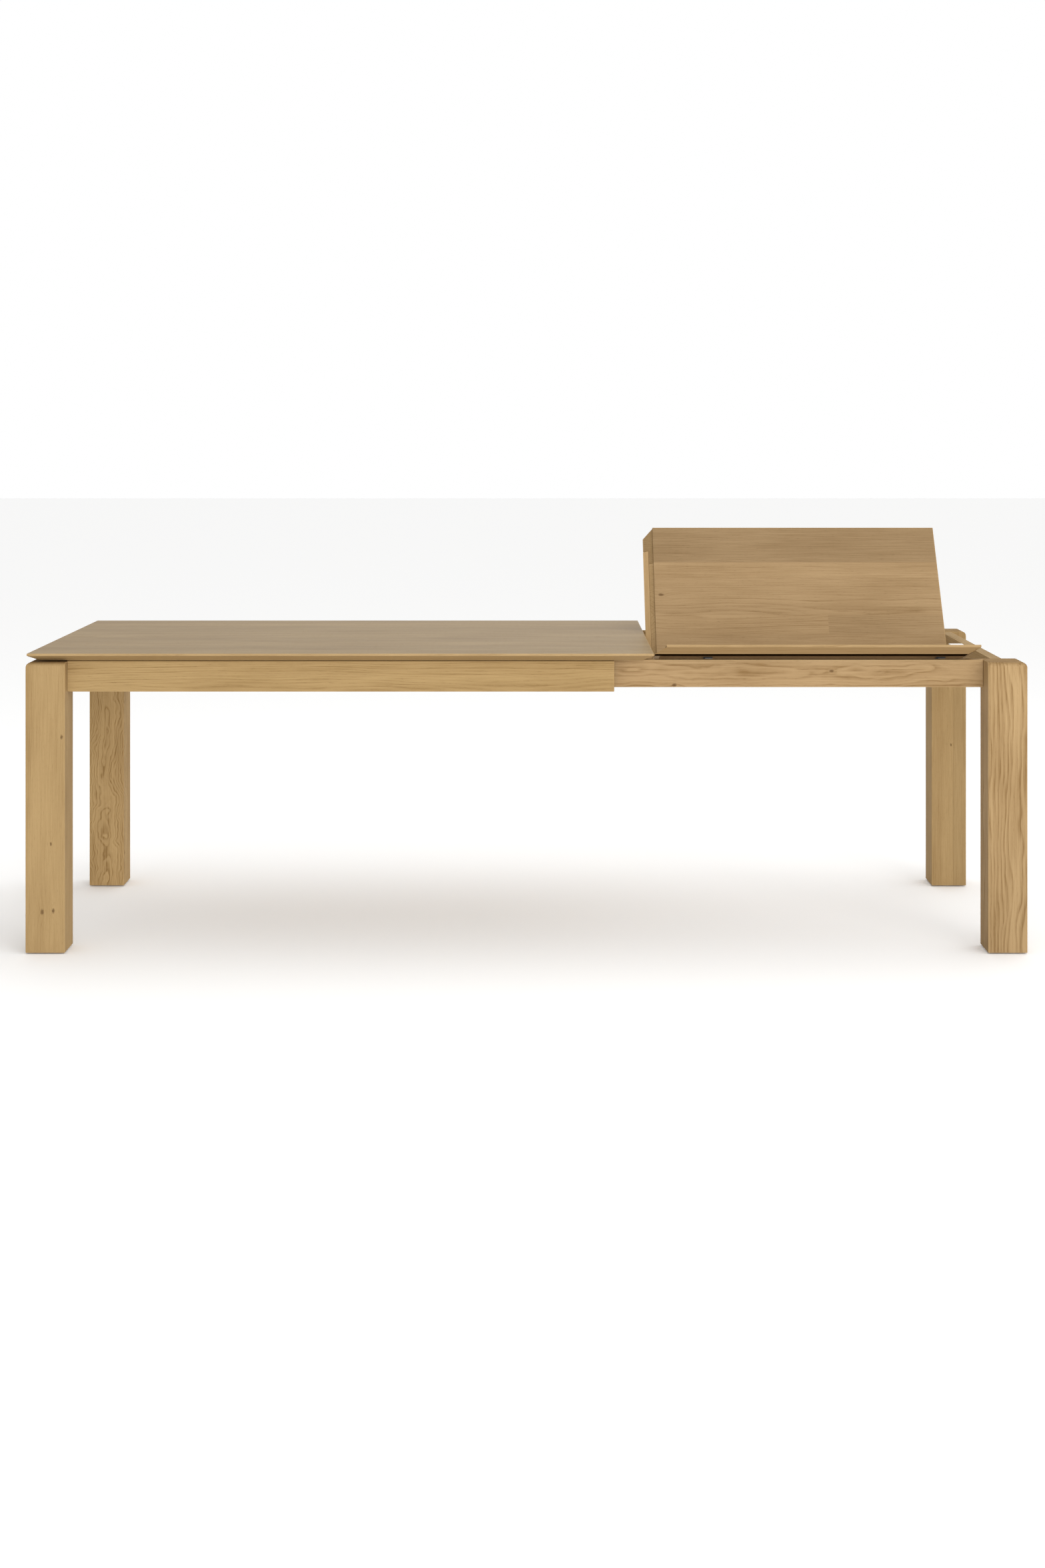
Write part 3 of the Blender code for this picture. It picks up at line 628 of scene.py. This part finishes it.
# width of the strip of painted shade under the front half's outer edge
SHADE_STRIP_WIDTH = 0.075
TOP_BOARDS = (0.083, 0.112, 0.095, 0.121, 0.088, 0.104, 0.117, 0.092, 0.088)
FRONT_BOARDS = (0.104, 0.092, 0.118, 0.136)
REAR_BOARDS = (0.104, 0.062, 0.118, 0.051, 0.115)
LEG_CUTS = {
    "leg_left_front": Cut(STANDING, 11, pith=(0.16, 0.03), wander=0.006, contrast=0.5, bands=0.35,
                          ring=0.8, knots=((0.180, 0.042, -0.050, 0.0045),
                                           (-0.092, 0.015, -0.050, 0.0040),
                                           (-0.262, 0.021, -0.050, 0.0050),
                                           (-0.265, -0.007, -0.050, 0.0060))),
    # painted light: tones lift this leg above the others, for light reaching its front under the top
    "leg_left_rear": Cut(STANDING, 12, pith=(-0.006, 0.062), wander=0.085, swirl=7.0, contrast=1.5,
                         bands=0.15, ring=1.8, tones=(1.15,)),
    # painted shade: fade makes this leg darker towards the floor, for the key light falling off downwards
    "leg_right_front": Cut(STANDING, 13, pith=(0.05, 0.07), wander=0.050, swirl=3.0, contrast=1.5,
                           bands=0.4, ring=2.6, fade=0.12, tones=(1.03,), warmth=-0.07),
    "leg_right_rear": Cut(STANDING, 14, pith=(-0.13, 0.04), wander=0.010, contrast=0.5, bands=0.35,
                          seams=(0.012,), tones=(1.02, 0.95),
                          knots=((0.215, -0.004, -0.050, 0.0045),
                                 (0.040, 0.006, -0.050, 0.0035))),
}
RAIL_CUTS = {
    "outer_apron_front": Cut(LENGTHWISE_UPRIGHT, 21, pith=(-0.05, 0.05), wander=0.030, contrast=0.8,
                             ring=1.5, bands=0.3, warmth=0.03, corner=0.0016),
    "outer_apron_rear": Cut(LENGTHWISE_UPRIGHT, 22, pith=(0.06, 0.04), wander=0.02, ring=1.2,
                            corner=0.0016),
    "inner_apron_front": Cut(LENGTHWISE_UPRIGHT, 23, pith=(0.004, 0.035), wander=0.060, ring=2.4,
                             swirl=4.0, contrast=1.1, bands=0.20, tones=(1.06,), warmth=-0.11,
                             knots=((-0.105, -0.030, -0.011, 0.0050),
                                    (0.300, 0.006, -0.011, 0.0050))),
    "inner_apron_rear": Cut(LENGTHWISE_UPRIGHT, 24, pith=(0.05, 0.04), wander=0.02, ring=1.2),
    "end_rail_left": Cut(CROSSWISE_UPRIGHT, 25, pith=(0.05, 0.03), ring=1.1),
    "end_rail_right": Cut(CROSSWISE_UPRIGHT, 26, pith=(-0.04, 0.03), ring=1.1),
}


class TABLE_OT_main_top(Operator):
    """Finish the one-piece main top, glued up from nine boards"""
    bl_idname = "table.main_top"
    bl_label = "Main top"

    def execute(self, context):
        seams = widths_to_seams(TOP_BOARDS, -sum(TOP_BOARDS) / 2)
        cut = Cut(LENGTHWISE_FLAT, 1, pith=(0.0, 0.07), seams=seams, colours="top", wander=0.03,
                  contrast=0.6, bands=0.25,
                  tones=(1.0, 0.96, 1.03, 0.97, 1.02, 0.99, 0.95, 1.03, 0.98))
        oak_piece("main_top", cut, context.scene.table_oak.arris)
        return {"FINISHED"}


class TABLE_OT_legs(Operator):
    """Finish the four legs"""
    bl_idname = "table.legs"
    bl_label = "Legs"

    def execute(self, context):
        for node, cut in LEG_CUTS.items():
            oak_piece(node, cut)
        return {"FINISHED"}


class TABLE_OT_rails(Operator):
    """Finish the aprons and the end rails"""
    bl_idname = "table.rails"
    bl_label = "Aprons and rails"

    def execute(self, context):
        for node, cut in RAIL_CUTS.items():
            oak_piece(node, cut)
        return {"FINISHED"}


class TABLE_OT_leaf(Operator):
    """Finish both halves of the leaf and the battens let into their feather edges"""
    bl_idname = "table.leaf"
    bl_label = "Leaf"

    def execute(self, context):
        arris = context.scene.table_oak.arris
        length, width, thickness = LEAF_SIZE
        front_middle = leaf_origin(FRONT_TILT, "leaf_lift", FRONT_OFFSET)
        rear_middle = leaf_origin(REAR_TILT, "rear_leaf_unfold", REAR_OFFSET)
        front_seams = widths_to_seams(FRONT_BOARDS, -width / 2)
        rear_seams = widths_to_seams(REAR_BOARDS, -width / 2)
        halves = {
            "front_leaf": Cut(LENGTHWISE_FLAT, 31, pith=(0.0, 0.06), seams=front_seams,
                              turn=FRONT_TILT, colours="leaf", wander=0.03, warmth=-0.06,
                              tones=(1.0, 0.95, 1.03, 0.98)),
            "rear_leaf": Cut(LENGTHWISE_FLAT, 36, pith=(0.0, 0.06), seams=rear_seams,
                             turn=REAR_TILT, colours="leaf", wander=0.03, ring=1.3, bands=0.18,
                             contrast=0.7, tones=(1.05, 1.08, 1.06, 1.08, 0.88), warmth=-0.06,
                             joint=(1, 0.094, -0.07), knots=((-0.370, 0.005, 0.010, 0.0060),)),
        }
        shade_strip_edges = (SHADE_STRIP_WIDTH - width / 2, -width)      # the rear half has no strip of painted shade
        middles = (front_middle, rear_middle)
        for (half, cut), origin, edge in zip(halves.items(), middles, shade_strip_edges):
            underside = unoiled(half + "_underside", cut, origin, edge)
            down = Matrix.Rotation(cut.turn, 3, "X") @ Vector((0, 0, -1))
            oak_piece(half + "_panel", cut, arris * 0.7, origin, LEAF_SIZE, (underside, down))
            strip = Cut(CROSSWISE_FLAT, cut.seed + 7, pith=(0.1, 0.05), turn=cut.turn,
                        wander=0.01, contrast=0.4, bands=0.15, tones=(1.32,), warmth=-0.10)
            oak_piece(half + "_batten", strip, arris * 0.3, origin, (width, length, thickness))
        return {"FINISHED"}


class TABLE_OT_battens(Operator):
    """Finish the bearers, runners, tie rail and leaf supports"""
    bl_idname = "table.battens"
    bl_label = "Hidden battens"

    def execute(self, context):
        orders = {"top_bearer_1": CROSSWISE_FLAT, "top_bearer_2": CROSSWISE_FLAT,
                  "tie_rail": CROSSWISE_UPRIGHT, "leaf_runner_front": LENGTHWISE_FLAT,
                  "leaf_runner_rear": LENGTHWISE_FLAT, "leaf_support_left": STANDING,
                  "leaf_support_right": STANDING}
        for seed, (node, order) in enumerate(orders.items(), 1):
            finish_node(node, "_finished", beech(node + "_beech", order, seed))
        return {"FINISHED"}


# --- fittings --------------------------------------------------------------------------
BRACKET_SHEET = 0.003            # thickness of a leg bracket
BRACKET_REACH = 0.026            # from a bracket's corner to its screws in the end rail
BRACKET_STEP = 0.011             # screws above and below a bracket's middle
LEG_SHIFT = 0.003                # leg screws moved off the middle, away from the rail
BEARER_SHARES = (0.06, 0.35, 0.65, 0.94)
CARRIAGE_INSET = 0.014
CARRIAGE_STEP = 0.008
ARM_INSET = 0.010                # pivot arm screws: from the arm's end, along it and above it
ARM_PLACES = (0.022, 0.042)
ARM_SEAT = 0.0417
HINGE_STEP = 0.0080              # hinge screws: each way, out from the axis and above it
HINGE_REACH = 0.0046
HINGE_SEAT = 0.0018
SMALL_HEAD = 0.45                # hinge screws, as a share of the others
HEAD_SIDES = 24


class TABLE_OT_fittings(Operator):
    """Finish the metal and plastic pieces of the frame and the leaf's carriage"""
    bl_idname = "table.fittings"
    bl_label = "Fittings"

    def execute(self, context):
        materials = fitting_materials()
        for node, slot in sorted(SLOT_OF.items()):
            if slot in materials:
                eased = 0.0002 if slot in ("brass", "zinc_steel") else 0.0004
                finish_node(node, "_finished", materials[slot], eased)
        return {"FINISHED"}


def cross_head(radius):
    """A domed screw head with a cross recess, its axis on Z and its seat at 0."""
    bm = bmesh.new()
    profile = [(radius, 0.0), (radius, 0.12), (radius * 0.92, 0.26), (radius * 0.66, 0.40),
               (radius * 0.30, 0.46)]
    angles = [2 * pi * i / HEAD_SIDES for i in range(HEAD_SIDES)]
    rings = []
    for reach, rise in profile:
        rings.append([bm.verts.new((reach * cos(angle), reach * sin(angle), rise * radius))
                      for angle in angles])
    for lower, upper in zip(rings, rings[1:]):
        for i in range(HEAD_SIDES):
            j = (i + 1) % HEAD_SIDES
            bm.faces.new((lower[i], lower[j], upper[j], upper[i]))
    bm.faces.new(list(reversed(rings[0])))
    bm.faces.new(rings[-1])
    head = bpy.data.objects.new("head", bpy.data.meshes.new("head"))
    bm.to_mesh(head.data)
    bm.free()
    cutter_bm = bmesh.new()
    arm = Matrix.Diagonal((radius * 1.15, radius * 0.26, radius * 0.5, 1.0))
    lift = Matrix.Translation((0.0, 0.0, radius * 0.45))
    bmesh.ops.create_cube(cutter_bm, size=1.0, matrix=lift @ arm)
    cutter_mesh = bpy.data.meshes.new("recess")
    cutter_bm.to_mesh(cutter_mesh)
    cutter_bm.free()
    cutters = []
    for turn in (0.0, 90.0):
        cutter = bpy.data.objects.new("recess", cutter_mesh)
        cutter.rotation_euler.z = radians(turn)
        bpy.context.scene.collection.objects.link(cutter)
        boolean = head.modifiers.new("recess", "BOOLEAN")
        boolean.object = cutter
        cutters.append(cutter)
    bpy.context.scene.collection.objects.link(head)
    shape = bpy.context.evaluated_depsgraph_get()
    mesh = bpy.data.meshes.new_from_object(head.evaluated_get(shape))
    for used in (head, *cutters):
        bpy.data.objects.remove(used)
    return mesh


def screw_set(name, places, mesh, material, body):
    """Screw heads at (seat, outward direction) places, joined into one piece."""
    bm = bmesh.new()
    for number, (seat, outward) in enumerate(places):
        face = Vector(outward).to_track_quat("Z", "Y").to_matrix().to_4x4()
        spin = Matrix.Rotation(0.7 * number, 4, "Z")
        start = len(bm.verts)
        bm.from_mesh(mesh)
        bm.verts.ensure_lookup_table()
        bmesh.ops.transform(bm, matrix=Matrix.Translation(seat) @ face @ spin,
                            verts=bm.verts[start:])
    return add_piece(name, bm, material, body)


def bracket_screws(node, rail_side, side):
    """Four screws in a leg bracket: two into the end rail, two into the leg."""
    low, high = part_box(node)
    corner = high.y if side > 0 else low.y
    rail_x = low.x + BRACKET_SHEET if rail_side > 0 else high.x - BRACKET_SHEET
    leg_x = (low.x + high.x) / 2 + rail_side * LEG_SHIFT
    middle_z = (low.z + high.z) / 2
    places = []
    for step in (-BRACKET_STEP, BRACKET_STEP):
        rail_seat = (rail_x, corner - side * BRACKET_REACH, middle_z + step)
        leg_seat = (leg_x, corner - side * BRACKET_SHEET, middle_z + step)
        places.append((rail_seat, (rail_side, 0, 0)))
        places.append((leg_seat, (0, -side, 0)))
    return places


def tilted(point, tilt, centre):
    return centre + Matrix.Rotation(tilt, 3, "X") @ Vector(point)


class TABLE_OT_screws(Operator):
    """Add the screw heads of brackets, bearers, arms, hinges and the carriage bar"""
    bl_idname = "table.screws"
    bl_label = "Screws"

    def execute(self, context):
        steel = bpy.data.materials["zinc_plate"]
        brass = bpy.data.materials["satin_brass"]
        radius = context.scene.table_fittings.screw
        large = cross_head(radius)
        small = cross_head(radius * SMALL_HEAD)
        for end, body, rail_side in (("left", "left_frame", 1), ("right", "right_frame", -1)):
            places = []
            for side_name, side in SIDES.items():
                places += bracket_screws("leg_bracket_%s_%s" % (end, side_name), rail_side, side)
            screw_set("bracket_screws_" + end, places, large, steel, body)
        places = []
        for node in ("top_bearer_1", "top_bearer_2"):
            low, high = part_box(node)
            middle = (low.x + high.x) / 2
            for share in BEARER_SHARES:
                places.append(((middle, low.y + share * (high.y - low.y), low.z), (0, 0, -1)))
        screw_set("bearer_screws", places, large, steel, "left_frame")
        low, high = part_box("carriage_bar")
        middle = (low.x + high.x) / 2
        places = [((middle + step, side * (high.y - CARRIAGE_INSET), high.z), (0, 0, 1))
                  for side in (-1, 1) for step in (-CARRIAGE_STEP, CARRIAGE_STEP)]
        screw_set("carriage_screws", places, large, steel, "leaf_carriage")
        self.leaf_screws(steel, brass, large, small)
        return {"FINISHED"}

    def leaf_screws(self, steel, brass, large, small):
        """Screws up into the front leaf half and down into the hinge plates."""
        pivot = Vector(JOINTS["leaf_lift"]["pos_m"])
        down = Matrix.Rotation(FRONT_TILT, 3, "X") @ Vector((0, 0, -1))
        places = []
        for node in ("pivot_arm_left", "pivot_arm_right"):
            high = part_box(node)[1]
            for y in ARM_PLACES:
                point = (high.x - ARM_INSET - pivot.x, y, ARM_SEAT)
                places.append((tilted(point, FRONT_TILT, pivot), down))
        screw_set("pivot_arm_screws", places, large, steel, "front_leaf")
        halves = (("front_leaf", FRONT_TILT, "leaf_fold", -1),
                  ("rear_leaf", REAR_TILT, "rear_leaf_unfold", 1))
        for half, tilt, joint, side in halves:
            axis = Vector(JOINTS[joint]["pos_m"])
            up = Matrix.Rotation(tilt, 3, "X") @ Vector((0, 0, 1))
            places = []
            for end in ("left", "right"):
                low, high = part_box("hinge_plate_%s_%s" % (end, half))
                middle = (low.x + high.x) / 2
                for step in (-HINGE_STEP, HINGE_STEP):
                    point = (middle + step - axis.x, side * HINGE_REACH, HINGE_SEAT)
                    places.append((tilted(point, tilt, axis), up))
            screw_set("hinge_screws_" + half, places, small, brass, half)


# --- stage -----------------------------------------------------------------------------
FLOOR_REACH = 30.0
FLOOR_GLOW = 0.09                # lifts the pale floor to white
SHADE_SIDE = 0.30                # light from -X, as a share of the rest of the sky's
AIM = (0.0, 0.0, 0.5)
LAMPS = (                        # name, place, width, share of the key's power, colour
    ("key", (3.6, -6.4, 3.2), 3.5, 0.50, (1.0, 0.985, 0.96)),
    ("fill", (0.4, -7.0, 0.9), 2.5, 0.62, (1.0, 0.99, 0.98)),
    ("overhead", (0.3, 0.6, 4.2), 4.0, 0.15, (1.0, 1.0, 1.0)))


class TABLE_OT_stage(Operator):
    """Set up the camera, a pale floor and soft studio light"""
    bl_idname = "table.stage"
    bl_label = "Stage"

    def execute(self, context):
        stage = context.scene.table_stage
        self.camera(context, stage)
        self.floor(stage)
        self.sky(context, stage)
        self.lights(stage)
        context.scene.view_settings.view_transform = "Standard"
        return {"FINISHED"}

    def camera(self, context, stage):
        camera = bpy.data.cameras.new("camera")
        camera.lens = stage.lens
        camera.shift_x, camera.shift_y = stage.shift
        holder = bpy.data.objects.new("camera", camera)
        holder.location = stage.eye
        holder.rotation_euler = (radians(90.0), 0.0, 0.0)
        context.scene.collection.objects.link(holder)
        context.scene.camera = holder

    def floor(self, stage):
        bm = bmesh.new()
        bmesh.ops.create_grid(bm, x_segments=2, y_segments=2, size=FLOOR_REACH)
        mesh = bpy.data.meshes.new("floor")
        bm.to_mesh(mesh)
        bm.free()
        material, graph, shader = new_material("floor")
        place = graph.add("TexCoord").outputs["Object"]
        mottle = graph.noise(place, (1.5, 1.5, 1.5), 3.0)
        colour = graph.mix(graph.math("MULTIPLY", mottle, 0.03), rgba(stage.floor),
                           (0.8, 0.8, 0.8, 1.0))
        graph.put(shader.inputs["Base Color"], colour)
        shader.inputs["Roughness"].default_value = 0.9
        shader.inputs["Emission Color"].default_value = (1.0, 1.0, 1.0, 1.0)
        shader.inputs["Emission Strength"].default_value = FLOOR_GLOW
        shader.inputs["Specular IOR Level"].default_value = 0.1
        mesh.materials.append(material)
        floor = bpy.data.objects.new("floor", mesh)
        bpy.context.scene.collection.objects.link(floor)

    def sky(self, context, stage):
        world = bpy.data.worlds.new("studio")
        world.use_nodes = True
        graph = Graph(world.node_tree)
        output = world.node_tree.nodes["World Output"]
        soft = world.node_tree.nodes["Background"]
        soft.inputs["Color"].default_value = (1.0, 1.0, 1.0, 1.0)
        seen = graph.add("Background", {"Color": (1.0, 1.0, 1.0, 1.0), "Strength": 1.0})
        choice = graph.add("MixShader", {0: graph.add("LightPath").outputs["Is Camera Ray"],
                                         1: soft.outputs[0], 2: seen.outputs[0]})
        graph.put(output.inputs["Surface"], choice.outputs[0])
        toward = graph.split(graph.add("TexCoord").outputs["Generated"])[0]
        fall = graph.add("MapRange", {"Value": toward, "From Min": -1.0, "From Max": 0.1,
                                      "To Min": SHADE_SIDE * stage.sky, "To Max": stage.sky})
        graph.put(soft.inputs["Strength"], fall.outputs["Result"])
        context.scene.world = world

    def lights(self, stage):
        for name, place, width, share, colour in LAMPS:
            light = bpy.data.lights.new(name, "AREA")
            light.shape = "SQUARE"
            light.size = width
            light.energy = stage.key * share
            light.color = colour
            lamp = bpy.data.objects.new(name, light)
            lamp.location = place
            toward = Vector(AIM) - lamp.location
            lamp.rotation_euler = toward.to_track_quat("-Z", "Y").to_euler()
            bpy.context.scene.collection.objects.link(lamp)


# --- panel and registration ------------------------------------------------------------
PIECE_OPERATORS = (TABLE_OT_main_top, TABLE_OT_legs, TABLE_OT_rails, TABLE_OT_leaf,
                   TABLE_OT_battens, TABLE_OT_fittings, TABLE_OT_screws, TABLE_OT_stage)


class TABLE_PT_pieces(Panel):
    """Lists the table's pieces and settings"""
    bl_label = "Dining table"
    bl_idname = "TABLE_PT_pieces"
    bl_space_type = "VIEW_3D"
    bl_region_type = "UI"
    bl_category = "Table"

    def draw(self, context):
        scene = context.scene
        for group in (scene.table_oak, scene.table_fittings, scene.table_stage):
            box = self.layout.box()
            for setting in group.__annotations__:
                box.prop(group, setting)
        for operator in PIECE_OPERATORS:
            self.layout.operator(operator.bl_idname)


SETTING_GROUPS = {"table_oak": OakSettings, "table_fittings": FittingSettings,
                  "table_stage": StageSettings}
CLASSES = (*SETTING_GROUPS.values(), *PIECE_OPERATORS, TABLE_PT_pieces)


def register():
    for each in CLASSES:
        bpy.utils.register_class(each)
    for name, group in SETTING_GROUPS.items():
        setattr(bpy.types.Scene, name, PointerProperty(type=group))


def unregister():
    for name in SETTING_GROUPS:
        delattr(bpy.types.Scene, name)
    for each in reversed(CLASSES):
        bpy.utils.unregister_class(each)


def main():
    register()
    make_oak_figure()
    make_edge_wear_and_highlight()
    make_knot()
    make_scuffs()
    bpy.ops.table.main_top()
    bpy.ops.table.legs()
    bpy.ops.table.rails()
    bpy.ops.table.leaf()
    bpy.ops.table.battens()
    bpy.ops.table.fittings()
    bpy.ops.table.screws()
    bpy.ops.table.stage()


if __name__ == "__main__":
    main()
